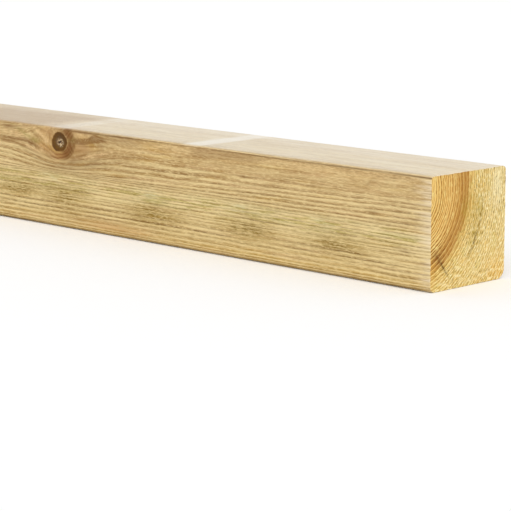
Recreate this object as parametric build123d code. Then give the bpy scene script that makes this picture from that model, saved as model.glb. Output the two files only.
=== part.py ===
from build123d import *
import os

# Square-sawn softwood post, one piece of stock, lying on its bed face.
# Frame: X along the length, Y from the front face to the back face, Z up.
# The origin is at the middle of the bed face.

# Driving dimensions, in millimetres
stock_length = 1800.0        # between the two cross-cut ends
section_depth = 90.0         # front face to back face
section_height = 90.0        # bed face to top face
top_front_easing = 3.0       # radius of each long edge, as the planer leaves it
top_back_easing = 4.0
bed_front_easing = 5.0
bed_back_easing = 9.0        # the fullest edge, towards the outside of the log


def eased_section():
    """The square section on the YZ plane, each corner eased to its own radius."""
    front = -section_depth / 2
    back = section_depth / 2
    corners = [
        ((front, section_height), top_front_easing),
        ((back, section_height), top_back_easing),
        ((front, 0), bed_front_easing),
        ((back, 0), bed_back_easing),
    ]
    section = Rectangle(section_depth, section_height, align=(Align.CENTER, Align.MIN))
    for corner, radius in corners:
        arris = section.vertices().sort_by_distance(Vector(*corner))[0]
        section = fillet(arris, radius)
    return Plane.YZ * section


def sawn_post():
    """The section carried along the grain, cut square at both ends."""
    return extrude(eased_section(), amount=stock_length / 2, both=True)


os.makedirs("parts", exist_ok=True)
post = sawn_post()
post.label = "post"
export_step(post, "parts/post.step")
print("post volume, cubic millimetres:", round(post.volume))
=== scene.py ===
import bpy
import math
import numpy as np
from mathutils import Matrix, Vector
from mathutils.geometry import delaunay_2d_cdt


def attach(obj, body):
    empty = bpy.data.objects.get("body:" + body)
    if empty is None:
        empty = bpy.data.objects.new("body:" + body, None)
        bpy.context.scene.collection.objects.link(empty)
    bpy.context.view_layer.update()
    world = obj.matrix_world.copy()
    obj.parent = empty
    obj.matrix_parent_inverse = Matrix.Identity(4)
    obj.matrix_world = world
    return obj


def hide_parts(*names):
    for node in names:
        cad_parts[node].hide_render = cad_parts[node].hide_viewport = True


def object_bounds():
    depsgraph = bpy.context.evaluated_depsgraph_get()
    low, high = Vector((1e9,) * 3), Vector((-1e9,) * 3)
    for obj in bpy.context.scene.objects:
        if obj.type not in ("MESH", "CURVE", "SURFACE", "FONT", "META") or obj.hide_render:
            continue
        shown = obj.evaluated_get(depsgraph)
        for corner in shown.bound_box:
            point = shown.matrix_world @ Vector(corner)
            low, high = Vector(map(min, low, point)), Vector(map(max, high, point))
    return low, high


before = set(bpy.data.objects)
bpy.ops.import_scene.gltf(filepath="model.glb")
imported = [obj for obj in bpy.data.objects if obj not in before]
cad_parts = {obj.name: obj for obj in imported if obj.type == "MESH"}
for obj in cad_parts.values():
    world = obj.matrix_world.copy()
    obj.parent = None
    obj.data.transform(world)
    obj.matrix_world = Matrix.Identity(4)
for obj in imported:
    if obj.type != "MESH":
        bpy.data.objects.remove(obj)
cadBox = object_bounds()
print("frame loaded, box", [round(c, 3) for c in (*cadBox[0], *cadBox[1])])

halfLength = 1000 * cadBox[1].x
side = 1000 * cadBox[1].z

# The post, in millimetres: x runs along the grain, u from the front face to the back, v up from the bed.
# Places along the length are given as the distance back from the near end.
post = {
    "edges": (5.0, 3.0, 4.0, 9.0),            # easing: bed-front, top-front, top-back and bed-back
    "columns": (128, 90, 50, 44),             # mesh columns on the front, top, back and bed faces
    "edgeColumns": (6, 6, 5, 8),              # and round those four edges
    "step": (6.5, 18.0),                      # mesh rows on the near part and on the rest
    "nearPart": 580,
    "capPitch": (1.1, 2.4),                   # mesh pitch on the near and far end
    "capSeeds": (31, 32),
    "pith": (-25.5, 79.0),                    # heart of the log, outside the front face
    # outer edge of each ring that shows on the front face, from the pith, and the strength of its dark line
    "rings": (
        (26.7, 0.6), (28.5, 0.8), (30.2, 0.8), (32.9, 0.9), (35.5, 0.9), (38.6, 1.0), (41.0, 0.7),
        (42.8, 0.6), (44.8, 0.6), (47.0, 0.7), (49.1, 0.6), (51.8, 1.0), (54.8, 0.5), (56.4, 0.6),
        (59.0, 0.7), (63.4, 1.2), (67.3, 1.3), (70.6, 1.0), (74.7, 0.8), (78.0, 0.35),
    ),
    "ringWidth": 2.45,                        # of the rings inside and outside those
    "ringSeed": 11,
    "heartEdge": 71.5,                        # radius where heartwood ends
    "browningOver": 420,                          # the wood goes browner over this length from the near end
    "ridge": 0.11,                            # how far the soft earlywood stands back
    "planing": 0.05,                          # waves left by the planer
    "knotLine": 0.35,                         # depth of the line round each knot
    "arrisWear": 0.28,                        # chipping along the cut ends
    "sawMarks": 0.12,                         # roughness of the sawn ends
}

# Where the faces lie on the unwrapped sheet: the long faces in one strip, the two ends above it
unwrap = {
    "along": (0.002, 0.5, 0.998),             # far end, start of the near part, near end
    "round": (0.004, 0.662),                  # where the girth starts and how much it takes
    "caps": ((0.01, 0.68), (0.35, 0.68)),     # corners of the near and far end
    "capSide": 0.31,
}

# Each branch starts at the pith: distance back, direction round the log, lean along it, size, where it died
branches = {
    "list": (
        {"back": 432.7, "turn": -5, "lean": -30, "full": 12.2, "rise": 24, "dies": 62, "step": 2.0},
        {"back": 880, "turn": -62, "lean": -24, "full": 9.0, "rise": 30, "dies": 140, "step": 5.5},
        {"back": 1290, "turn": -21, "lean": -26, "full": 10.0, "rise": 34, "dies": 150, "step": 5.5},
        {"back": 1325, "turn": 6, "lean": -26, "full": 8.0, "rise": 30, "dies": 80, "step": 5.5},
    ),
    "parting": 1.85,                          # half width that the grain goes round, in knot sizes
    "slim": (0.5, 0.52),                      # its width over its length, on the far side and the near side
    "trail": 120,                             # how slowly the grain closes up on the near side
    "swell": 2.6,                             # how far the rings swell out along a branch
    "tails": (20, 40),                        # length of the swelling on those two sides
}

# The cut ends: a drying check, and tints on the near end
ends = {
    "check": ((6.5, 29.5), (20.5, 11.5)),     # from and to, u and v
    "checkHalf": 0.4,
    "checkDepth": 1.0,
    "bleached": (((80, 76), (5, 13)),),       # middle and half size
    "orange": (((84, 6), (13, 10)), ((2, 20), (4, 6))),
    "smear": (4.2, 0.8),                      # half width of the dirt at the start and end of the check
    "darkRing": ((-8, -40), (88.6, 90.4)),    # turn round the pith from and to, and its radius there
    "darkest": -31,                           # the turn where it is darkest
    "olive": (((54, 57), (5.5, 9)), ((52, 40), (4, 8)), ((41, 60), (3.5, 8))),
    "crisp": ((5, 29), (13, 12)),             # where the saw left the rings clearest
}


def softStep(low, high, value):
    t = np.clip((value - low) / (high - low), 0, 1)
    return t * t * (3 - 2 * t)


def softNoise(seed, *place):
    # smooth lattice noise from about -1 to 1, the same for the same seed
    table = np.random.default_rng(seed).uniform(-1, 1, (32, 32, 32))
    cell = [np.floor(p).astype(int) for p in place]
    part = [softStep(0, 1, p - c) for p, c in zip(place, cell)]
    total = 0
    for corner in np.ndindex(2, 2, 2):
        weight = 1
        for axis in range(3):
            weight = weight * (part[axis] if corner[axis] else 1 - part[axis])
        total = total + weight * table[tuple((cell[axis] + corner[axis]) % 32 for axis in range(3))]
    return total


def spot(across, up, size):
    return np.exp(-0.5 * ((across / size[0]) ** 2 + (up / size[1]) ** 2))


def pithAt(x):
    back = halfLength - x
    sway = 0.8 * np.sin(back / 230) + 0.5 * np.sin(back / 84)
    return post["pith"][0] + sway, post["pith"][1] + 0.8 * np.sin(back / 190)


def ringTable():
    # the outer edge of every ring and the strength of its dark line
    draw = np.random.default_rng(post["ringSeed"])
    inside = np.arange(0, post["rings"][0][0] - 1, post["ringWidth"])
    table = [(edge, 0.2) for edge in inside] + list(post["rings"])
    while table[-1][0] < 150:
        table.append((table[-1][0] + post["ringWidth"] * draw.uniform(0.75, 1.25), draw.uniform(0.3, 1.0)))
    return np.array(table).T


def branchFrame(branch):
    # start of the branch, its direction, and the two directions across it
    x = halfLength - branch["back"]
    turn = math.radians(branch["turn"])
    lean = math.radians(branch["lean"])
    start = np.array([x, *pithAt(x)])
    along = np.array([math.sin(lean), math.cos(lean) * math.cos(turn), math.cos(lean) * math.sin(turn)])
    crossA = np.array([math.cos(lean), -math.sin(lean) * math.cos(turn), -math.sin(lean) * math.sin(turn)])
    crossB = np.array([0, -math.sin(turn), math.cos(turn)])
    # slide the start so that the branch meets the front face at the given place
    start[0] += along[0] * start[1] / along[1]
    return start, along, crossA, crossB


def growth(points):
    # for each point: ring number, strength of its line, radius, place in the straightened grain, nearness
    # to a knot and share of the calm eye round one
    x, u, v = points.T
    pithU, pithV = pithAt(x)
    offU = u - pithU
    offV = v - pithV
    flow = np.column_stack([x, offU, offV])
    swell = np.zeros(len(x))
    knotShare = np.full(len(x), 7.0)
    eye = np.zeros(len(x))
    for branch in branches["list"]:
        start, along, crossA, crossB = branchFrame(branch)
        rel = points - start
        depth = rel @ along
        a = rel @ crossA
        b = rel @ crossB
        out = rel[:, 1:] @ along[1:] / (along[1:] @ along[1:])
        grown, grownOut = (
            branch["full"] * (1 - np.exp(-np.clip(way, 0, None) / branch["rise"])) for way in (depth, out)
        )
        size = grown * softStep(branch["dies"] + 14, branch["dies"], depth)
        live = softStep(0, 8, out) * softStep(branch["dies"] + 90, branch["dies"], out)
        # the grain parts round a knot as water parts round a stone
        reach = branches["parting"] * grownOut
        slimmed = np.where(a < 0, *branches["slim"]) * a / (1 + np.clip(a, 0, None) / branches["trail"])
        apart = slimmed ** 2 + b ** 2
        bend = reach ** 2 / np.maximum(apart, reach ** 2 + 1e-6)
        bend = bend * live * softStep(1.76 * reach + 0.1, 1.48 * reach, np.abs(b))
        bend = bend * softStep(330, 120, np.abs(a))
        eye = np.maximum(eye, live * softStep(1.15, 0.8, np.sqrt(apart) / (reach + 0.01)))
        offU = offU - b * bend * crossB[1]
        offV = offV - b * bend * crossB[2]
        flow = flow - 0.85 * (b * bend)[:, None] * crossB
        tail = np.where(a < 0, a / branches["tails"][0], a / branches["tails"][1])
        swell = swell + branches["swell"] * live * np.exp(-tail ** 2 - (b / (0.8 * grownOut + 1)) ** 2)
        away = np.hypot(a, b) + 1e-6
        outline = 1 + 0.08 * softNoise(5, 5 + 1.4 * a / away, 5 + 1.4 * b / away, depth / 40)
        share = away / np.maximum(size * outline, 0.4)
        knotShare = np.minimum(knotShare, np.where(size > 0.4, share, 7.0))
    radius = np.hypot(offU, offV) - swell
    angle = np.arctan2(offV, offU)
    radius = radius + 0.4 * softNoise(3, x / 190, angle * 3, radius / 26)
    radius = radius + 0.4 * softNoise(4, x / 48, angle * 5, radius / 8)
    radius = radius + 0.2 * softNoise(6, x / 17, angle * 11, radius / 3)
    edges, strengths = ringTable()
    ring = np.interp(np.clip(radius, 0, None), edges, np.arange(len(edges)))
    strength = strengths[np.clip(np.floor(ring).astype(int) + 1, 0, len(edges) - 1)]
    return {
        "ring": ring,
        "strength": strength,
        "radius": radius,
        "flow": flow,
        "knotShare": knotShare,
        "eye": eye,
    }


def lateWood(ring):
    f = ring - np.floor(ring)
    return softStep(0.4, 0.88, f) * softStep(1.0, 0.93, f)


def sectionOutline():
    # the eased square, going up the front, over the top, down the back and home along the bed
    bedFront, topFront, topBack, bedBack = post["edges"]
    runs = [
        ((0, bedFront), (0, side - topFront), post["columns"][0]),
        ((topFront, side - topFront), topFront, 180, post["edgeColumns"][1]),
        ((topFront, side), (side - topBack, side), post["columns"][1]),
        ((side - topBack, side - topBack), topBack, 90, post["edgeColumns"][2]),
        ((side, side - topBack), (side, bedBack), post["columns"][2]),
        ((side - bedBack, bedBack), bedBack, 0, post["edgeColumns"][3]),
        ((side - bedBack, 0), (bedFront, 0), post["columns"][3]),
        ((bedFront, bedFront), bedFront, -90, post["edgeColumns"][0]),
    ]
    places = []
    normals = []
    for run in runs:
        if len(run) == 3:
            start, end, count = np.array(run[0]), np.array(run[1]), run[2]
            way = (end - start) / np.linalg.norm(end - start)
            for t in np.arange(count) / count:
                places.append(start + (end - start) * t)
                normals.append((-way[1], way[0]))
        else:
            centre, radius, first, count = run
            for t in np.arange(count) / count:
                turn = math.radians(first - 90 * t)
                out = np.array([math.cos(turn), math.sin(turn)])
                places.append(np.array(centre) + radius * out)
                normals.append(out)
    return np.array(places), np.array(normals)


def stations():
    # rows close up at the knots and at both cut ends
    x = np.linspace(-halfLength, halfLength, 9001)
    near, far = post["step"]
    step = np.where(x > halfLength - post["nearPart"], near, far)
    for branch in branches["list"]:
        zone = softStep(95, 40, np.abs(x - halfLength + branch["back"]))
        step = np.minimum(step, branch["step"] + (far - branch["step"]) * (1 - zone))
    fromEnd = halfLength - np.abs(x)
    step = np.minimum(step, 0.45 + 0.4 * fromEnd)
    count = np.concatenate([[0], np.cumsum(np.diff(x) / step[:-1])])
    rows = int(round(count[-1]))
    return np.interp(np.linspace(0, count[-1], rows + 1), count, x)


def checkLine():
    # the crooked line of the check, how far it is open there, and the direction across it
    start, end = np.array(ends["check"][0]), np.array(ends["check"][1])
    length = np.linalg.norm(end - start)
    across = np.array([start[1] - end[1], end[0] - start[0]]) / length
    share = np.linspace(0, 1, int(length / 0.55))
    crook = 0.7 * softNoise(34, share * 7, share * 0, share * 0)
    places = start + share[:, None] * (end - start) + crook[:, None] * across
    torn = softNoise(35, share * 9, share * 0, share * 0)
    opened = softStep(0.3, 0.6, share) * softStep(1.0, 0.75, share) * np.clip(0.35 + 1.3 * torn, 0, 1)
    return places, opened, across


def capPoints(pitch, seed, checked):
    # a slightly shaken grid inside the section, and how far the saw has sunk each point
    draw = np.random.default_rng(seed)
    ticks = np.arange(pitch, side, pitch)
    grid = np.stack(np.meshgrid(ticks, ticks), -1).reshape(-1, 2)
    grid = grid + draw.uniform(-0.22, 0.22, grid.shape) * pitch
    bedFront, topFront, topBack, bedBack = post["edges"]
    corners = [((0, 0), bedFront), ((0, side), topFront), ((side, side), topBack), ((side, 0), bedBack)]
    gap = np.minimum(np.minimum(grid[:, 0], side - grid[:, 0]), np.minimum(grid[:, 1], side - grid[:, 1]))
    for corner, radius in corners:
        offset = grid - np.abs(np.array(corner) - radius)
        outward = (np.sign(np.array(corner) - side / 2) * offset > 0).all(1)
        gap = np.where(outward, radius - np.linalg.norm(offset, axis=1), gap)
    grid = grid[gap > 0.6 * pitch]
    sunk = post["sawMarks"] * (1 + softNoise(33, grid[:, 0] / 1.7, grid[:, 1] / 6, np.zeros(len(grid))))
    if checked:
        middle, opened, across = checkLine()
        clear = np.linalg.norm(grid[:, None] - middle[None], axis=2).min(1) > 1.1
        lip = (ends["checkHalf"] * opened)[:, None] * across
        lipSunk = np.full(len(middle), post["sawMarks"])
        grid = np.concatenate([grid[clear], middle, middle + lip, middle - lip])
        sunk = np.concatenate([sunk[clear], ends["checkDepth"] * opened, lipSunk, lipSunk])
    return grid, sunk


def capFaces(outline, inner):
    flat = [Vector(p) for p in np.concatenate([outline, inner])]
    rim = [(i, (i + 1) % len(outline)) for i in range(len(outline))]
    result = delaunay_2d_cdt(flat, rim, [], 1, 1e-5)
    faces, origin = result[2], result[3]
    return [tuple(origin[i][0] for i in face) for face in faces]


def buildPost():
    outline, normals = sectionOutline()
    rows = stations()
    columns = len(outline)
    skin = np.column_stack([np.repeat(rows, columns), np.tile(outline, (len(rows), 1))])
    push = np.column_stack([np.zeros(len(skin)), np.tile(normals, (len(rows), 1))])

    # relief: earlywood planed lower, a sunk line round each knot, chipped arrises at the cuts
    grown = growth(skin)
    knotShare = grown["knotShare"]
    x, u, v = skin.T
    fromEnd = halfLength - np.abs(x)
    depth = post["ridge"] * (1 - lateWood(grown["ring"])) * softStep(0.95, 1.15, knotShare)
    depth = depth + post["planing"] * (1 + softNoise(21, x / 22, u / 3, v / 3))
    depth = depth + post["knotLine"] * np.exp(-((knotShare - 1.03) / 0.06) ** 2)
    chips = np.clip(softNoise(22, u / 2.2, v / 2.2, x / 300) + 0.35, 0, 1) + 0.25
    depth = depth + post["arrisWear"] * chips * np.exp(-fromEnd / 0.9)
    skin = skin - push * depth[:, None]

    row, column = np.meshgrid(np.arange(len(rows) - 1), np.arange(columns), indexing="ij")
    row, column = row.ravel(), column.ravel()
    following = (column + 1) % columns
    corners = [(row, column), (row + 1, column), (row + 1, following), (row, following)]
    quads = np.stack([r * columns + c for r, c in corners], -1)

    # unrolled strip for the long faces, with the near part given more of its length
    lengthPlaces = (-halfLength, halfLength - post["nearPart"], halfLength)
    lengthShare = np.interp(rows, lengthPlaces, unwrap["along"])
    girth = np.cumsum(np.linalg.norm(np.diff(outline, axis=0, append=outline[:1]), axis=1))
    girthStart, girthSpan = unwrap["round"]
    girthShare = girthStart + girthSpan * np.concatenate([[0], girth]) / girth[-1]
    unrolled = [(row, column), (row + 1, column), (row + 1, column + 1), (row, column + 1)]
    quadUv = np.stack([np.column_stack([lengthShare[r], girthShare[c]]) for r, c in unrolled], 1)

    places = [skin]
    faces = quads.tolist()
    uvs = [quadUv.reshape(-1, 2)]
    total = len(skin)
    for end, pitch, seed, corner in zip((1, -1), post["capPitch"], post["capSeeds"], unwrap["caps"]):
        rimStart = (len(rows) - 1) * columns if end > 0 else 0
        rim = skin[rimStart:rimStart + columns, 1:]
        inner, sunk = capPoints(pitch, seed, end > 0)
        triangles = np.array(capFaces(rim, inner))
        if end < 0:
            triangles = triangles[:, ::-1]
        flat = np.concatenate([rim, inner])
        innerIndex = np.arange(total, total + len(inner))
        index = np.concatenate([np.arange(rimStart, rimStart + columns), innerIndex])
        places.append(np.column_stack([end * (halfLength - sunk), inner]))
        faces += index[triangles].tolist()
        uvs.append((np.array(corner) + flat[triangles] / side * unwrap["capSide"]).reshape(-1, 2))
        total += len(inner)
    places = np.concatenate(places)

    mesh = bpy.data.meshes.new("post_timber")
    inMetres = np.column_stack([places[:, 0], places[:, 1] - side / 2, places[:, 2]]) / 1000
    mesh.from_pydata(inMetres.tolist(), [], faces)
    layer = mesh.uv_layers.new(name="OFBake")
    layer.uv.foreach_set("vector", np.concatenate(uvs).ravel().astype(np.float32))
    # the top, the other long faces and the ends have materials of their own
    onTop = (outline[column, 1] > side - 0.7) & (outline[following, 1] > side - 0.7)
    slot = np.full(len(faces), 2)
    slot[:len(quads)] = onTop
    mesh.polygons.foreach_set("material_index", slot)
    mesh.polygons.foreach_set("use_smooth", np.ones(len(faces), bool))
    mesh.set_sharp_from_angle(angle=math.radians(50))
    return mesh, places


def storeField(mesh, name, values):
    kind = "FLOAT_VECTOR" if values.ndim == 2 else "FLOAT"
    field = mesh.attributes.new(name, kind, "POINT")
    field.data.foreach_set("vector" if values.ndim == 2 else "value", values.astype(np.float32).ravel())


mesh, places = buildPost()
for name, values in growth(places).items():
    storeField(mesh, name, values)
storeField(mesh, "browning", softStep(0, post["browningOver"], halfLength - places[:, 0]))
print("rings and knots laid out")

# Marks left on the long faces: feed-roller smudges, laths, the dried cut end and the treatment's green
marks = {
    # distance back, height and strength
    "smudges": ((493, 30, 0.9), (431, 28.5, 1.1), (311, 27, 1.0), (198, 26.5, 1.0), (100, 26, 0.9)),
    "smudgeSize": (17, 4.6),                  # half length and half height
    "pale": ((316, 43), (206, 42), (446, 44), (112, 42)),
    "paleSize": (9, 3.2),
    # distance back, half width and strength
    "laths": ((266, 12, 1.25), (437, 12, 0.8), (905, 14, 0.6), (1400, 13, 0.5)),
    "dryEnd": 5,                              # length of the teeth of the dried strip
    "greenBand": (39.5, 4.8),                 # height and half width on the front
    "topBrown": 455,                          # the top is browner beyond this
    "wedge": (264, 180, 79.5, 87.5),          # a brown streak: from, to, and its heights
}


def timberMarks(points):
    back = halfLength - points[:, 0]
    u, v = points[:, 1], points[:, 2]
    front = softStep(6, 1, u)
    top = softStep(side - 1.3, side - 0.5, v)
    smudge = np.zeros(len(points))
    halo = np.zeros(len(points))
    pale = np.zeros(len(points))
    long, tall = marks["smudgeSize"]
    for place, height, strength in marks["smudges"]:
        smudge = np.maximum(smudge, strength * spot(back - place, v - height, (long, tall)))
        halo = np.maximum(halo, strength * spot(back - place + 4, v - height + 2, (1.9 * long, 2.2 * tall)))
    for place, height in marks["pale"]:
        pale = np.maximum(pale, spot(back - place, v - height, marks["paleSize"]))

    # the top is painted paler, more so towards its back edge: a painted highlight of light glancing off it;
    # the lath marks below join the same mask
    bleachAndGlare = (0.5 + 0.2 * softStep(30, 85, u)) * (0.2 + 0.8 * softStep(0.5, 9, u)) * top
    brown = back - marks["topBrown"] + 0.3 * (u - 45) + 12 * softNoise(42, back / 40, u / 14, v / 14)
    brown = softStep(-16, 16, brown) * top * softStep(1000, 560, back) * (1.1 - 0.5 * softStep(55, 85, u))
    bleachAndGlare = bleachAndGlare * (1 - 0.55 * brown)
    for place, half, strength in marks["laths"]:
        edge = half * (1 + 0.12 * softNoise(41, back / 9, u / 9, v / 9))
        lath = strength * softStep(edge + 3, edge - 3, np.abs(back - place)) * top
        bleachAndGlare = np.maximum(bleachAndGlare, lath * (0.35 + 0.65 * softStep(1, 8, u)))
    teeth = marks["dryEnd"] * (1 + softNoise(45, u / 1.5, v / 1.5, 0 * v)) + 3
    dry = softStep(2 * teeth, 0, halfLength - np.abs(points[:, 0]))
    dry = dry * np.clip(0.7 + 0.75 * softNoise(47, u / 5, v / 5, 0 * v), 0.15, 1.3)

    height, half = marks["greenBand"]
    green = np.exp(-0.5 * ((v - height) / half) ** 2) * front
    topLine = np.exp(-((v - side + 1.7) / 0.55) ** 2) * softStep(3, 1.5, u)
    deep = 0.7 + 0.35 * softNoise(43, back / 45, 0 * u, 0 * u) + 0.3 * spot(back - 340, 0, (60, 1))
    topLine = topLine * (deep + 0.3 * softStep(70, 15, back)) * softStep(455, 425, back)
    # painted shade along the bottom edge of the front face, as a post beneath would cast
    bedShade = (0.05 + 0.6 * softStep(3, 25, back)) * np.exp(-(v / 2.0) ** 2) * front
    first, last, low, high = marks["wedge"]
    low = low + 3 * softStep(first + 20, last, back)
    wedge = softStep(low - 1.5, low + 1.5, v) * softStep(high + 1, high - 0.5, v) * front
    wedge = wedge * softStep(first + 14, first - 14, back) * softStep(last - 3, last + 14, back)
    return (
        np.column_stack([smudge * front, bleachAndGlare, dry]),
        np.column_stack([green, np.maximum(topLine, bedShade), brown]),
        np.column_stack([halo * front, pale * front, 0.4 * wedge]),
    )


# Stains round the knot that shows, measured from its middle: place along the grain, height, half length,
# half height, tilt and strength; the last few of a list lie further along the front
stains = {
    "orange": (
        (-19, 8, 7, 3, 0, 0.28), (-14, 6, 5, 2.5, -30, 0.35), (-22, -7, 8, 2.2, -20, 0.6),
        # the last entry here lies low along the bottom of the front: painted shade and warm reflected light
        # from a post beneath, not a stain
        (-2, -13, 10, 2, 0, 0.6), (29, -4, 9, 2.4, 4, 0.35), (70, -69, 30, 3, 0, 0.5),
    ),
    "olive": ((-34, -1.5, 5.5, 2, -4, 1), (-50, 3.5, 12, 1.3, -22, 0.7), (16, 2.4, 5, 2, 4, 0.8)),
    "light": (
        (-66, 2.5, 12, 2, -4, 0.5), (-42, -8, 14, 0.8, -15, 0.8), (-34, -12.5, 12, 0.7, -15, 0.8),
        (-33, 8, 6, 1.1, -30, 0.8), (-30, -6.4, 7, 0.7, -22, 0.8), (-26, -9, 6, 1.2, -20, 0.7),
        (-24, 3, 5, 1.2, -28, 1), (-18, 0, 3, 2, -20, 1), (-16, -8.8, 9, 0.7, -24, 0.7),
        (-14, -12.2, 7, 1, -18, 0.7), (-14, -14, 7, 0.8, -30, 0.7), (27, -12, 9, 0.8, 14, 0.6),
        (29, -3, 9, 0.9, 3, 0.4), (29, -7.9, 9, 0.7, 14, 0.5), (31, 8.3, 8, 2.2, 0, 0.5),
        (44, -8.6, 17, 1, 13, 0.9), (190, 8, 90, 2.8, 0, 0.35), (340, 8, 70, 2.8, 0, 0.35),
        (380, 3.5, 9, 1.7, 28, 0.4),
    ),
    "brown": (
        (-72, 8.2, 10, 1.5, -2, 0.75), (-72, -5.4, 10, 0.8, -3, 0.7), (-62, -2.6, 18, 1, -2, 0.75),
        (-50, 10, 14, 0.6, 5, 0.5), (-46, -9.8, 18, 0.8, -12, 0.7), (-40, -4.8, 10, 1.1, -14, 0.9),
        (-34, 3.4, 7, 0.6, -28, 0.5), (-28, -16.4, 16, 0.8, -11, 0.6), (-26, 1.2, 6, 0.7, -30, 0.3),
        (-24, 8.6, 8, 0.7, -12, 0.3), (-20, -9.8, 9, 1.2, -19, 0.5), (-20, -11, 9, 5, -25, 0.2),
        (-18, -6.6, 10, 0.8, -25, 0.6), (-16, -15, 7, 1, -14, 0.6), (-14, 3.5, 1.2, 5, 12, 0.5),
        (-11, 7, 0.9, 3.5, 10, 0.45), (-8, -14.6, 9, 0.7, -10, 0.7), (4, -21.5, 26, 3.4, 0, 0.42),
        (8, -5, 13, 12, 0, 0.4), (19, -15.5, 11, 4.5, 10, 0.6), (25, -6, 7, 0.8, 12, 0.55),
        (28, -5, 12, 5, 5, 0.32), (30, 11, 18, 0.9, 0, 0.8), (30, -9.8, 10, 0.8, 15, 0.6),
        (30, -68, 35, 3, 0, 0.1), (38, -17, 14, 2.6, 8, 0.5), (40, -0.8, 18, 0.7, 5, 0.6),
        (40, -5.5, 14, 0.8, 10, 0.5), (45, -13.4, 15, 1, 14, 0.5), (50, -22, 40, 5, 0, 0.15),
        (56, 2, 10, 2.2, 4, 0.4), (60, -15, 34, 9, 0, 0.2), (78, 8, 24, 3.2, 0, 0.5),
        (231.7, -8, 1.3, 0.7, 0, 0.8), (247, 7.5, 9, 1, 8, 0.4), (260, -1, 90, 4.5, 0, 0.07),
        (371, 1, 10, 1.5, 28, 0.28), (373.7, -21.4, 4, 0.8, 0, 0.65), (391, 6, 9, 1.1, 24, 0.22),
        (407.7, -48, 4.5, 0.9, 0, 0.5), (408, -26, 4, 0.8, 0, 0.45),
    ),
    # a brown flame beside the knot: its lower and upper edge
    "flameLow": ((9, 1), (22, -0.6), (32, -0.4), (45, 2.2), (64, 5)),
    "flameHigh": ((9, 4), (22, 4.8), (38, 6.2), (45, 10.5), (64, 8.5)),
    "flame": 0.72,
    # a brown crescent: its strength by the turn round the knot
    "crescent": (
        (-110, 0), (-80, 0.5), (-55, 1.0), (-8, 1.0), (8, 0.75),
        (22, 0.95), (40, 1.0), (60, 0.8), (90, 0.35), (125, 0),
    ),
    "knotHalf": (10, 8.3),                    # half size of the knot on the front
}


def knotStains(points):
    start, along = branchFrame(branches["list"][0])[:2]
    middle = start - along * start[1] / along[1]
    dx = points[:, 0] - middle[0]
    dz = points[:, 2] - middle[2]
    front = softStep(4, 1, points[:, 1])
    tints = []
    for name in ("orange", "olive", "light", "brown"):
        total = np.zeros(len(points))
        for across, up, long, tall, tilt, strength in stains[name]:
            turn = math.radians(tilt)
            lengthwise = (dx - across) * math.cos(turn) + (dz - up) * math.sin(turn)
            sideways = (dz - up) * math.cos(turn) - (dx - across) * math.sin(turn)
            total = np.maximum(total, strength * spot(lengthwise, sideways, (long, tall)))
        tints.append(total * front)
    low, high = (np.interp(dx, *np.array(stains[edge]).T) for edge in ("flameLow", "flameHigh"))
    flame = softStep(low - 0.9, low + 0.9, dz) * softStep(high + 0.9, high - 0.9, dz)
    flame = flame * softStep(6, 14, dx) * softStep(67, 60, dx) * front
    arcs = np.maximum(softStep(4, -6, dz) * softStep(-26, 4, dx), spot(dx - 13, dz - 8, (5, 3.5)))
    dusk = softStep(-6, 7, dz + 0.5 * dx) * spot(dx, dz, (12, 12)) * front
    arcs = np.where(np.hypot(dx, dz) < 9, dusk, arcs)
    # the pale heart lies a little below the middle of the knot, round a dark pith
    heart = spot(dx - 1.2, dz + 0.9, (2.9, 2.7)) * front
    pith = spot(dx + 0.5, dz, (0.8, 0.8)) * front
    # brown arcs close round its right side
    share = np.hypot(dx / stains["knotHalf"][0], dz / stains["knotHalf"][1])
    turn = np.degrees(np.arctan2(dz, dx))
    crescent = softStep(0.9, 1.15, share) * softStep(2.3, 1.85, share)
    crescent = crescent * (0.92 + 0.2 * np.cos(21 * (share - 1.4)))
    crescent = crescent * np.interp(turn, *np.array(stains["crescent"]).T) * front
    brown = np.maximum(np.maximum(tints[3], stains["flame"] * flame), crescent)
    return np.column_stack(tints[:3]), brown, np.column_stack([arcs, heart, pith])


def endMarks(points):
    x, u, v = points.T
    near = softStep(halfLength - 40, halfLength - 20, x)
    bleached, orange, olive = (
        np.max([spot(u - m[0], v - m[1], half) for m, half in ends[name]], axis=0)
        for name in ("bleached", "orange", "olive")
    )
    (first, last), radii = ends["darkRing"]
    turn = np.degrees(np.arctan2(v - post["pith"][1], u - post["pith"][0]))
    off = np.hypot(u - post["pith"][0], v - post["pith"][1]) - np.interp(-turn, (-first, -last), radii)
    ringMark = softStep(first + 4, first - 4, turn) * softStep(last - 3, last + 3, turn)
    flecks = np.clip(0.5 + 0.9 * softNoise(44, turn / 1.6, off / 0.9, 0 * off), 0, 1)
    olive = np.maximum(olive, ringMark * np.exp(-(off / 1.5) ** 2) * (0.7 + 0.7 * flecks))
    dark = ringMark * np.exp(-(off / 1.1) ** 2) * (0.3 + 0.7 * flecks)
    dark = dark * (0.4 + 0.4 * spot(turn - ends["darkest"], 0, (5, 1)))
    middle, opened = checkLine()[:2]
    gaps = np.linalg.norm(points[:, None, 1:] - middle[None], axis=2)
    gap = gaps.min(1)
    nearest = gaps.argmin(1)
    width = np.linspace(*ends["smear"], len(middle))[nearest]
    worn = 0.75 + 0.5 * softNoise(46, u / 2.2, v / 2.2, 0 * u)
    smear = np.exp(-(gap / width) ** 2) * worn * softStep(len(middle), 0.45 * len(middle), nearest)
    # the check's own line grows darker where it opens: painted shade in the gap, over the dirt along it
    dark = np.maximum(dark, (0.5 + 1.1 * opened[nearest]) * worn * np.exp(-(gap / 0.8) ** 2))
    (midU, midV), half = ends["crisp"]
    crisp = spot(u - midU, v - midV, half)
    tints = np.column_stack([bleached, orange, dark]) * near[:, None]
    dirt = np.column_stack([olive, crisp, smear]) * near[:, None]
    return tints, dirt


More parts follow.
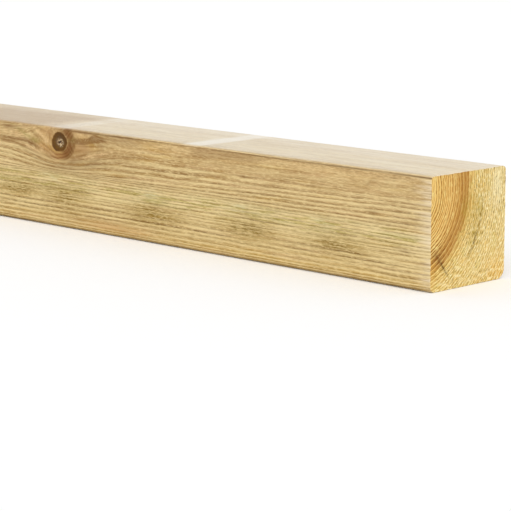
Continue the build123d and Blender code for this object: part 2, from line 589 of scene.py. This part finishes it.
surfaceMarks, tintMarks, patchMarks = timberMarks(places)
stainTints, stainBrown, knotMarks = knotStains(places)
patchMarks[:, 2] = np.maximum(patchMarks[:, 2], stainBrown)
storeField(mesh, "marks", surfaceMarks)
storeField(mesh, "tints", tintMarks)
storeField(mesh, "patches", patchMarks)
storeField(mesh, "stains", stainTints)
storeField(mesh, "knotMarks", knotMarks)
endTints, endDirt = endMarks(places)
storeField(mesh, "endTints", endTints)
storeField(mesh, "endDirt", endDirt)
triangleCount = sum(len(face.vertices) - 2 for face in mesh.polygons)
print("post mesh:", len(mesh.vertices), "points,", triangleCount, "triangles")


def colour(r, g, b):
    linear = [c / 255 / 12.92 if c <= 10 else ((c / 255 + 0.055) / 1.055) ** 2.4 for c in (r, g, b)]
    return (*linear, 1)


def addNode(tree, kind, inputs=None, **settings):
    node = tree.nodes.new(kind)
    for name, value in settings.items():
        setattr(node, name, value)
    for key, value in (inputs or {}).items():
        if isinstance(value, bpy.types.NodeSocket):
            tree.links.new(value, node.inputs[key])
        else:
            node.inputs[key].default_value = value
    return node


def calc(tree, operation, *values):
    return addNode(tree, "ShaderNodeMath", dict(enumerate(values)), operation=operation).outputs[0]


def times(tree, *values):
    product = values[0]
    for value in values[1:]:
        product = calc(tree, "MULTIPLY", product, value)
    return product


def rescale(tree, value, low, high, toLow=0.0, toHigh=1.0, kind="SMOOTHSTEP"):
    inputs = {0: value, 1: low, 2: high, 3: toLow, 4: toHigh}
    return addNode(tree, "ShaderNodeMapRange", inputs, interpolation_type=kind).outputs[0]


def ramp(tree, value, stops):
    node = addNode(tree, "ShaderNodeValToRGB", {0: value})
    points = node.color_ramp.elements
    for stop in stops[2:]:
        points.new(stop[0])
    for point, (place, shade) in zip(points, stops):
        point.position = place
        point.color = shade if isinstance(shade, tuple) else (shade, shade, shade, 1)
    return node.outputs[0]


def mix(tree, share, first, second):
    node = addNode(tree, "ShaderNodeMix", {0: share, 6: first, 7: second}, data_type="RGBA")
    return node.outputs[2]


def stretched(tree, vector, scale):
    return addNode(tree, "ShaderNodeMapping", {"Vector": vector, "Scale": scale}).outputs[0]


def noise(tree, vector, scale, detail=2.0, rough=0.5):
    inputs = {"Vector": vector, "Scale": scale, "Detail": detail, "Roughness": rough}
    return addNode(tree, "ShaderNodeTexNoise", inputs).outputs[0]


def grainNoise(tree, flow, along, across, detail=2.0, rough=0.6):
    # drawn out along the grain
    return noise(tree, stretched(tree, flow, (along, across, across)), 1.0, detail, rough)


def field(tree, name, output="Fac"):
    return addNode(tree, "ShaderNodeAttribute", attribute_name=name).outputs[output]


def fields(tree, name):
    return addNode(tree, "ShaderNodeSeparateXYZ", {0: field(tree, name, "Vector")}).outputs


def hush(tree, value, share):
    # draws a noise towards its middle value
    return calc(tree, "ADD", times(tree, calc(tree, "SUBTRACT", value, 0.5), share), 0.5)


def zoneRamp(tree, radius, zones, reach=130):
    # colours at distances from the pith, as far as the given reach
    stops = [(distance / reach, shade) for distance, shade in zones]
    return ramp(tree, calc(tree, "DIVIDE", radius, reach), stops)


def paint(tree, base, *layers):
    # lays each shade over the last by its share
    for share, shade in layers:
        base = mix(tree, share, base, shade)
    return base


def newMaterial(name):
    material = bpy.data.materials.new(name)
    material.use_nodes = True
    tree = material.node_tree
    return material, tree, tree.nodes["Principled BSDF"]


def addBump(tree, shader, height, distance):
    bump = addNode(tree, "ShaderNodeBump", {"Strength": 0.7, "Distance": distance, "Height": height})
    tree.links.new(bump.outputs[0], shader.inputs["Normal"])


def perRing(tree, ringNumber):
    whole = calc(tree, "FLOOR", ringNumber)
    return addNode(tree, "ShaderNodeTexWhiteNoise", {"W": whole}, noise_dimensions="1D").outputs[0]


# Treated spruce along the grain, colours in sRGB; its zones are colours at distances from the pith
spruce = {
    "zones": (
        (16, colour(200, 158, 102)),
        (24, colour(204, 169, 115)),
        (28, colour(201, 168, 116)),
        (34, colour(198, 166, 114)),
        (38, colour(200, 169, 117)),
        (39.5, colour(208, 179, 126)),
        (46, colour(221, 197, 147)),
        (58, colour(218, 191, 135)),
        (70, colour(217, 189, 131)),
        # the stops from 77 to 84 are darker and more saturated: painted shade and warm reflected light from
        # a post beneath, along the bottom of the front face
        (77, colour(208, 173, 104)),
        (80, colour(194, 154, 74)),
        (84, colour(182, 138, 54)),
        (120, colour(214, 182, 118)),
    ),
    "line": colour(112, 76, 26),
    "bright": colour(241, 218, 160),
    "dash": colour(110, 78, 28),
    "tan": colour(166, 126, 66),
    "golden": colour(206, 164, 84),
    "green": colour(184, 176, 118),
    "moss": colour(168, 154, 66),
    "smudge": colour(132, 102, 18),
    "halo": colour(172, 138, 58),
    "pale": colour(216, 212, 166),
    "brown": colour(112, 68, 12),
    "topBrown": colour(176, 144, 100),
    # near-white of the pale top: a painted highlight there, and the lath marks
    "bleachAndGlare": colour(241, 232, 214),
    "dry": colour(239, 220, 184),
    "rose": colour(221, 184, 134),
    # the dark line along the top arris, and painted shade along the bottom edge of the front
    "edge": colour(92, 58, 20),
    "orange": colour(192, 126, 58),
    "olive": colour(144, 132, 58),
    "light": colour(238, 203, 148),
    "arc": colour(128, 78, 34),
    # knot wood from its pith to its rim, as shares of three knot sizes
    "knot": (
        (0.0, colour(40, 24, 18)),
        (0.04, colour(50, 32, 24)),
        (0.07, colour(112, 82, 54)),
        (0.12, colour(124, 92, 58)),
        (0.17, colour(108, 78, 42)),
        (0.22, colour(106, 72, 14)),
        (0.27, colour(104, 67, 8)),
        (0.315, colour(104, 67, 10)),
        (0.345, colour(136, 94, 42)),
        (0.38, colour(158, 116, 62)),
    ),
    "knotDusk": colour(64, 37, 12),
    "knotBlotch": colour(66, 42, 14),
    "knotHeart": colour(224, 198, 154),
    "knotPith": colour(40, 24, 18),
    "specular": 0.2,
    "sheen": 0.06,
    "topSheen": 0.5,                          # the top lies open to dust and frays a little
    "sheenRough": 0.3,
    "bump": 0.0004,
}


def paintKnots(tree, base):
    # crumbs in the calm eye, brown arcs outside, a dark rim, dark wood and a pale pitted heart
    place = addNode(tree, "ShaderNodeTexCoord").outputs["Object"]
    blotch = noise(tree, place, 620, 2.0)
    wobble = rescale(tree, noise(tree, place, 230, 2.0), 0, 1, -0.15, 0.15, "LINEAR")
    knotAt = calc(tree, "DIVIDE", calc(tree, "ADD", field(tree, "knotShare"), wobble), 3)
    arcs = ramp(tree, knotAt, [(0.39, 0.0), (0.46, 0.8), (0.51, 0.1), (0.58, 0.8), (0.63, 0.1), (0.7, 0.0)])
    arcsAt, heartAt, knotPith = fields(tree, "knotMarks")
    crumbs = times(tree, field(tree, "eye"), rescale(tree, arcsAt, 0, 0.6, 1.0, 0.0))
    base = paint(
        tree, base,
        (times(tree, crumbs, rescale(tree, blotch, 0.47, 0.3, 0.0, 0.28)), spruce["dash"]),
        (times(tree, crumbs, rescale(tree, blotch, 0.53, 0.7, 0.0, 0.25)), spruce["bright"]),
        (times(tree, arcs, rescale(tree, arcsAt, 0, 1, 0.15, 0.9)), spruce["arc"]),
    )
    heart = ramp(tree, knotAt, [(0.045, 0.0), (0.07, 0.4), (0.12, 0.35), (0.17, 0.0)])
    heart = calc(tree, "MAXIMUM", heart, rescale(tree, heartAt, 0.2, 0.7))
    knot = paint(
        tree, ramp(tree, knotAt, spruce["knot"]),
        (times(tree, arcsAt, 0.5), spruce["knotDusk"]),
        (rescale(tree, blotch, 0.5, 0.68, 0.0, 0.45), spruce["knotBlotch"]),
        (times(tree, heart, rescale(tree, blotch, 0.46, 0.58)), spruce["knotHeart"]),
        (rescale(tree, knotPith, 0.3, 0.7), spruce["knotPith"]),
    )
    return mix(tree, rescale(tree, knotAt, 0.372, 0.335), base, knot)


def longGrain(name, sheen):
    material, tree, shader = newMaterial(name)
    flow = field(tree, "flow", "Vector")
    radiusAt = field(tree, "radius")
    smudgeAt, bleachAndGlareAt, dryAt = fields(tree, "marks")
    greenAt, edgeLineAndBedShadeAt, topBrownAt = fields(tree, "tints")
    haloAt, paleAt, brownAt = fields(tree, "patches")
    orangeAt, oliveAt, lightAt = fields(tree, "stains")

    cloud = grainNoise(tree, flow, 0.008, 0.09, 3.0)
    patch = grainNoise(tree, flow, 0.016, 0.2)
    rosy = grainNoise(tree, flow, 0.0143, 0.182)
    stroke = grainNoise(tree, flow, 0.032, 0.45)
    nick = grainNoise(tree, flow, 0.13, 0.6)
    # the finest lines fade out in the calm eye round a knot
    quiet = rescale(tree, field(tree, "eye"), 0, 1, 1.0, 0.15, "LINEAR")
    streak = hush(tree, grainNoise(tree, flow, 0.012, 0.8), quiet)
    fine = hush(tree, grainNoise(tree, flow, 0.06, 1.4), quiet)
    fleck = hush(tree, grainNoise(tree, flow, 0.2, 1.5), rescale(tree, quiet, 0.15, 1.0, 0.45, 1.0))

    # annual rings: a dark latewood line and a bright earlywood band
    ringPart = calc(tree, "FRACT", field(tree, "ring"))
    late = ramp(tree, ringPart, [(0.0, 0.0), (0.38, 0.0), (0.64, 0.6), (0.78, 1.0), (0.9, 1.0), (1.0, 0.0)])
    early = ramp(tree, ringPart, [(0.0, 0.3), (0.12, 1.0), (0.38, 0.8), (0.62, 0.0)])
    fade = rescale(tree, grainNoise(tree, flow, 0.02, 0.5, rough=0.5), 0.34, 0.62, 0.35, 1.15)
    lines = times(tree, late, field(tree, "strength"), fade, quiet)
    lines = times(tree, lines, rescale(tree, nick, 0.36, 0.64, 1.15, 0.8))
    clear = times(tree, quiet, rescale(tree, radiusAt, 25.5, 28, 0.3, 1.0))
    clear = times(tree, clear, rescale(tree, radiusAt, 40, 43, 0.7, 0.95))
    clear = times(tree, clear, rescale(tree, radiusAt, 60, 56, 0.8, 1.0))

    browningTan = times(tree, field(tree, "browning"), rescale(tree, radiusAt, 40, 36, 0.1, 0.38))
    base = paint(
        tree, zoneRamp(tree, radiusAt, spruce["zones"]),
        (browningTan, spruce["tan"]),
        (rescale(tree, cloud, 0.45, 0.7, 0.0, 0.4), spruce["tan"]),
        (rescale(tree, patch, 0.52, 0.7, 0.0, 0.5), spruce["golden"]),
        (rescale(tree, rosy, 0.5, 0.68, 0.0, 0.5), spruce["rose"]),
        (times(tree, early, clear), spruce["bright"]),
        (times(tree, rescale(tree, stroke, 0.54, 0.68), quiet, 0.35), spruce["tan"]),
        (times(tree, rescale(tree, stroke, 0.44, 0.32), quiet, 0.35), spruce["bright"]),
    )
    # the treatment's green and the smudges lie under the fine lines
    dashes = rescale(tree, nick, 0.38, 0.62, 1.2, 0.3)
    dashes = times(tree, dashes, rescale(tree, streak, 0.38, 0.6, 1.1, 0.6))
    base = paint(
        tree, base,
        (times(tree, greenAt, rescale(tree, patch, 0.56, 0.38, 0.0, 0.5)), spruce["green"]),
        (times(tree, greenAt, rescale(tree, stroke, 0.5, 0.62, 0.0, 0.75)), spruce["moss"]),
        (times(tree, haloAt, rescale(tree, cloud, 0.35, 0.6, 0.25, 0.6)), spruce["halo"]),
        (times(tree, smudgeAt, dashes), spruce["smudge"]),
        (rescale(tree, streak, 0.5, 0.72, 0.0, 0.4), spruce["bright"]),
        (rescale(tree, streak, 0.5, 0.28, 0.0, 0.22), spruce["line"]),
        (times(tree, lines, 0.46), spruce["line"]),
        (rescale(tree, fine, 0.5, 0.72, 0.0, 0.35), spruce["bright"]),
        (rescale(tree, fine, 0.5, 0.28, 0.0, 0.22), spruce["dash"]),
        (rescale(tree, fleck, 0.5, 0.68, 0.0, 0.52), spruce["bright"]),
        (rescale(tree, fleck, 0.46, 0.3, 0.0, 0.24), spruce["dash"]),
    )
    # stains, the pale top (lath marks and a painted highlight of light glancing off it), the dried strip,
    # the dark top arris line and painted shade along the bottom edge lie over them
    glareAndBleachStreaks = rescale(tree, streak, 0.35, 0.65, 0.72, 1.14)
    glareAndBleachStreaks = times(tree, glareAndBleachStreaks, rescale(tree, cloud, 0.35, 0.65, 1.06, 0.9))
    base = paint(
        tree, base,
        (times(tree, paleAt, rescale(tree, fine, 0.46, 0.62, 0.0, 0.6)), spruce["pale"]),
        (times(tree, orangeAt, rescale(tree, fleck, 0.38, 0.62, 0.35, 0.75)), spruce["orange"]),
        (times(tree, oliveAt, rescale(tree, fleck, 0.38, 0.62, 0.8, 0.5)), spruce["olive"]),
        (times(tree, lightAt, rescale(tree, fleck, 0.38, 0.6, 0.35, 1.0)), spruce["light"]),
        (times(tree, brownAt, rescale(tree, fine, 0.35, 0.65, 1.0, 0.8)), spruce["brown"]),
        (times(tree, topBrownAt, 0.75), spruce["topBrown"]),
        (times(tree, bleachAndGlareAt, glareAndBleachStreaks), spruce["bleachAndGlare"]),
        (times(tree, dryAt, rescale(tree, streak, 0.36, 0.62, 0.1, 0.75)), spruce["dry"]),
        (times(tree, edgeLineAndBedShadeAt, rescale(tree, cloud, 0.35, 0.6, 0.55, 0.9)), spruce["edge"]),
    )
    tree.links.new(paintKnots(tree, base), shader.inputs["Base Color"])

    tree.links.new(rescale(tree, fine, 0.3, 0.7, 0.75, 0.55), shader.inputs["Roughness"])
    shader.inputs["Specular IOR Level"].default_value = spruce["specular"]
    shader.inputs["Sheen Weight"].default_value = sheen
    shader.inputs["Sheen Roughness"].default_value = spruce["sheenRough"]
    height = calc(tree, "ADD", times(tree, lines, 0.6), times(tree, fine, 0.9))
    addBump(tree, shader, height, spruce["bump"])
    return material


# The same wood across the grain; its zones are colours at distances from the pith
endWood = {
    "zones": (
        (27, colour(238, 192, 108)),
        (33, colour(232, 183, 98)),
        (37.5, colour(212, 156, 70)),
        (42, colour(216, 160, 76)),
        (47, colour(222, 166, 84)),
        (52, colour(206, 148, 68)),
        (58, colour(200, 144, 64)),
        (64, colour(188, 132, 56)),
        (post["heartEdge"] - 2.5, colour(186, 131, 55)),
        (post["heartEdge"] + 3.0, colour(219, 174, 96)),
        (82, colour(218, 181, 106)),
        (100, colour(216, 183, 112)),
        (120, colour(213, 179, 110)),
    ),
    "sapLine": colour(164, 126, 44),
    "heartLine": colour(136, 84, 20),
    "greenish": colour(204, 182, 92),
    "warm": colour(228, 180, 88),
    "bright": colour(250, 228, 148),
    "sapBright": colour(250, 234, 180),
    "bleached": colour(246, 236, 196),
    "orange": colour(232, 172, 72),
    "sapPit": colour(124, 100, 28),
    "heartPit": colour(140, 92, 30),
    "olive": colour(168, 138, 46),
    "smear": colour(98, 60, 16),
    # the dark ring, and painted shade in the open check
    "dark": colour(74, 46, 10),
    "rough": 0.8,
    "specular": 0.2,
    "bump": 0.0005,
}


def endGrain():
    material, tree, shader = newMaterial("spruceEndGrain")
    radiusAt = field(tree, "radius")
    ringNumber = field(tree, "ring")
    bleachedAt, orangeAt, darkAt = fields(tree, "endTints")
    oliveAt, crispAt, smearAt = fields(tree, "endDirt")
    place = addNode(tree, "ShaderNodeTexCoord").outputs["Object"]
    cloud = noise(tree, place, 45, 3.0, 0.55)
    mottle = noise(tree, place, 110, 3.0, 0.6)

    # pits and bright fibres, longer round the log than across the rings
    offU, offV = fields(tree, "flow")[1:]
    around = times(tree, calc(tree, "ARCTAN2", offV, offU), radiusAt)
    polar = addNode(tree, "ShaderNodeCombineXYZ", {0: radiusAt, 1: around}).outputs[0]
    speck = noise(tree, stretched(tree, polar, (1.15, 0.26, 1)), 1.0, 2.0, 0.6)
    stroke = noise(tree, stretched(tree, polar, (0.75, 0.16, 1)), 1.0, 2.0, 0.6)
    spark = noise(tree, stretched(tree, polar, (1.5, 0.26, 1)), 1.0, 1.0)

    ringPart = calc(tree, "FRACT", ringNumber)
    late = ramp(tree, ringPart, [(0.0, 0.0), (0.4, 0.0), (0.65, 0.6), (0.82, 1.0), (0.94, 1.0), (1.0, 0.0)])
    early = ramp(tree, ringPart, [(0.0, 0.5), (0.12, 1.0), (0.45, 0.3), (0.7, 0.0)])
    # the wide rings past the heart's middle show a second, fainter line
    halfPart = calc(tree, "FRACT", calc(tree, "MULTIPLY", ringNumber, 2))
    wide = times(tree, rescale(tree, radiusAt, 56, 58), rescale(tree, radiusAt, 80, 77))
    second = times(tree, rescale(tree, halfPart, 0.45, 0.85), rescale(tree, halfPart, 1.0, 0.92), wide)
    late = calc(tree, "MAXIMUM", late, times(tree, second, 0.75))
    gaps = rescale(tree, calc(tree, "ABSOLUTE", calc(tree, "SUBTRACT", radiusAt, 64)), 5, 9, 0.35, 1.0)

    # the edge of the heartwood wanders across a few rings
    wander = calc(tree, "ADD", radiusAt, rescale(tree, cloud, 0, 1, -5.5, 5.5, "LINEAR"))
    wander = calc(tree, "ADD", wander, rescale(tree, stroke, 0, 1, -6, 6, "LINEAR"))
    heart = rescale(tree, wander, post["heartEdge"] + 2, post["heartEdge"] - 2.5)
    sap = calc(tree, "SUBTRACT", 1.0, heart)
    outer = rescale(tree, wander, post["heartEdge"] - 1, post["heartEdge"] + 13)

    lines = times(tree, late, rescale(tree, perRing(tree, ringNumber), 0, 1, 0.5, 0.85, "LINEAR"))
    lines = times(tree, lines, rescale(tree, spark, 0.35, 0.65, 1.3, 0.75))
    lines = times(tree, lines, calc(tree, "ADD", rescale(tree, crispAt, 0, 1, 0.85, 1.5), smearAt))
    lines = times(tree, lines, rescale(tree, radiusAt, 55, 60, 1.0, 0.9))
    sparkle = rescale(tree, outer, 0, 1, 0.15, 0.95, "LINEAR")
    sparkle = times(tree, sparkle, rescale(tree, spark, 0.53, 0.63))
    sparkle = calc(tree, "MAXIMUM", sparkle, times(tree, rescale(tree, stroke, 0.52, 0.66), 0.6, gaps))
    pits = times(tree, rescale(tree, speck, 0.48, 0.34), rescale(tree, cloud, 0.4, 0.62, 0.2, 1.0))
    pits = times(tree, pits, rescale(tree, heart, 0, 1, 1.0, 0.6, "LINEAR"))
    pits = times(tree, pits, rescale(tree, late, 0, 1, 0.6, 1.0))
    base = paint(
        tree, zoneRamp(tree, wander, endWood["zones"]),
        (times(tree, sap, rescale(tree, mottle, 0.5, 0.66, 0.0, 0.5)), endWood["greenish"]),
        (times(tree, sap, rescale(tree, mottle, 0.48, 0.34, 0.0, 0.5)), endWood["warm"]),
        (times(tree, bleachedAt, rescale(tree, spark, 0.4, 0.6, 0.5, 0.95)), endWood["bleached"]),
        (times(tree, orangeAt, 0.7), endWood["orange"]),
        (times(tree, smearAt, rescale(tree, late, 0, 0.8, 0.35, 1.0)), endWood["smear"]),
        (times(tree, early, rescale(tree, crispAt, 0, 1, 0.5, 0.8), gaps), endWood["bright"]),
        (lines, mix(tree, heart, endWood["sapLine"], endWood["heartLine"])),
        (sparkle, mix(tree, outer, endWood["bright"], endWood["sapBright"])),
        (times(tree, oliveAt, rescale(tree, speck, 0.6, 0.4, 0.15, 0.75)), endWood["olive"]),
        (pits, mix(tree, heart, endWood["sapPit"], endWood["heartPit"])),
        (times(tree, darkAt, rescale(tree, speck, 0.3, 0.6, 1.0, 0.5)), endWood["dark"]),
    )
    tree.links.new(base, shader.inputs["Base Color"])

    shader.inputs["Roughness"].default_value = endWood["rough"]
    shader.inputs["Specular IOR Level"].default_value = endWood["specular"]
    addBump(tree, shader, calc(tree, "ADD", speck, times(tree, late, 0.3)), endWood["bump"])
    return material


timber = bpy.data.objects.new("post_timber", mesh)
bpy.context.scene.collection.objects.link(timber)
mesh.materials.append(longGrain("spruceLongGrain", spruce["sheen"]))
mesh.materials.append(longGrain("spruceTopGrain", spruce["topSheen"]))
mesh.materials.append(endGrain())
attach(timber, "root")
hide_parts("post")
print("post dressed")

# Studio: a white sweep of floor, an even sky and one very broad lamp
studio = {
    "floorSize": 60,                          # metres
    "floorColour": (0.86, 0.86, 0.85, 1),
    "sky": 0.72,
    "lampFrom": (0.66, -0.48, 0.62),
    "lampSpread": 55,                         # degrees across, for soft shadows
    "lampPower": 1.5,
    "cameraAt": (1.952, -1.2921, 0.3246),
    "dip": 10.28,                             # degrees that the camera looks down, and its turn
    "swing": 44.81,
    "lens": 153.65,                           # focal length in millimetres
}


def whiteWhenSeen(tree):
    # 1 where the camera sees it, so floor and sky look pure white whatever light they give
    light = addNode(tree, "ShaderNodeLightPath").outputs
    seen = calc(tree, "MAXIMUM", light["Is Camera Ray"], light["Is Glossy Ray"])
    return calc(tree, "MAXIMUM", seen, light["Is Transmission Ray"])


def makeStudio():
    half = studio["floorSize"] / 2
    sheet = bpy.data.meshes.new("studio_floor")
    corners = [(-half, -half, 0), (half, -half, 0), (half, half, 0), (-half, half, 0)]
    sheet.from_pydata(corners, [], [(0, 1, 2, 3)])
    floor = bpy.data.objects.new("studio_floor", sheet)
    bpy.context.scene.collection.objects.link(floor)
    paper, tree, shader = newMaterial("studioPaper")
    white = mix(tree, whiteWhenSeen(tree), studio["floorColour"], (1, 1, 1, 1))
    tree.links.new(white, shader.inputs["Base Color"])
    shader.inputs["Roughness"].default_value = 1.0
    shader.inputs["Specular IOR Level"].default_value = 0.0
    sheet.materials.append(paper)

    world = bpy.data.worlds.new("studioSky")
    bpy.context.scene.world = world
    world.use_nodes = True
    tree = world.node_tree
    level = rescale(tree, whiteWhenSeen(tree), 0, 1, studio["sky"], 1.0, "LINEAR")
    tree.links.new(level, tree.nodes["Background"].inputs["Strength"])
    tree.nodes["Background"].inputs["Color"].default_value = (1, 1, 1, 1)

    lamp = bpy.data.lights.new("soft_lamp", "SUN")
    lamp.angle = math.radians(studio["lampSpread"])
    lamp.energy = studio["lampPower"]
    holder = bpy.data.objects.new("soft_lamp", lamp)
    holder.location = studio["lampFrom"]
    holder.rotation_euler = (-Vector(studio["lampFrom"])).to_track_quat("-Z", "Y").to_euler()
    bpy.context.scene.collection.objects.link(holder)


def makeCamera():
    lens = bpy.data.cameras.new("photo_camera")
    lens.sensor_width = 36
    lens.lens = studio["lens"]
    lens.clip_start = 0.01
    camera = bpy.data.objects.new("photo_camera", lens)
    camera.location = studio["cameraAt"]
    camera.rotation_euler = (math.radians(90 - studio["dip"]), 0, math.radians(studio["swing"]))
    bpy.context.scene.collection.objects.link(camera)
    bpy.context.scene.camera = camera


makeStudio()
makeCamera()
bpy.context.scene.view_settings.view_transform = "Standard"
print("studio ready")
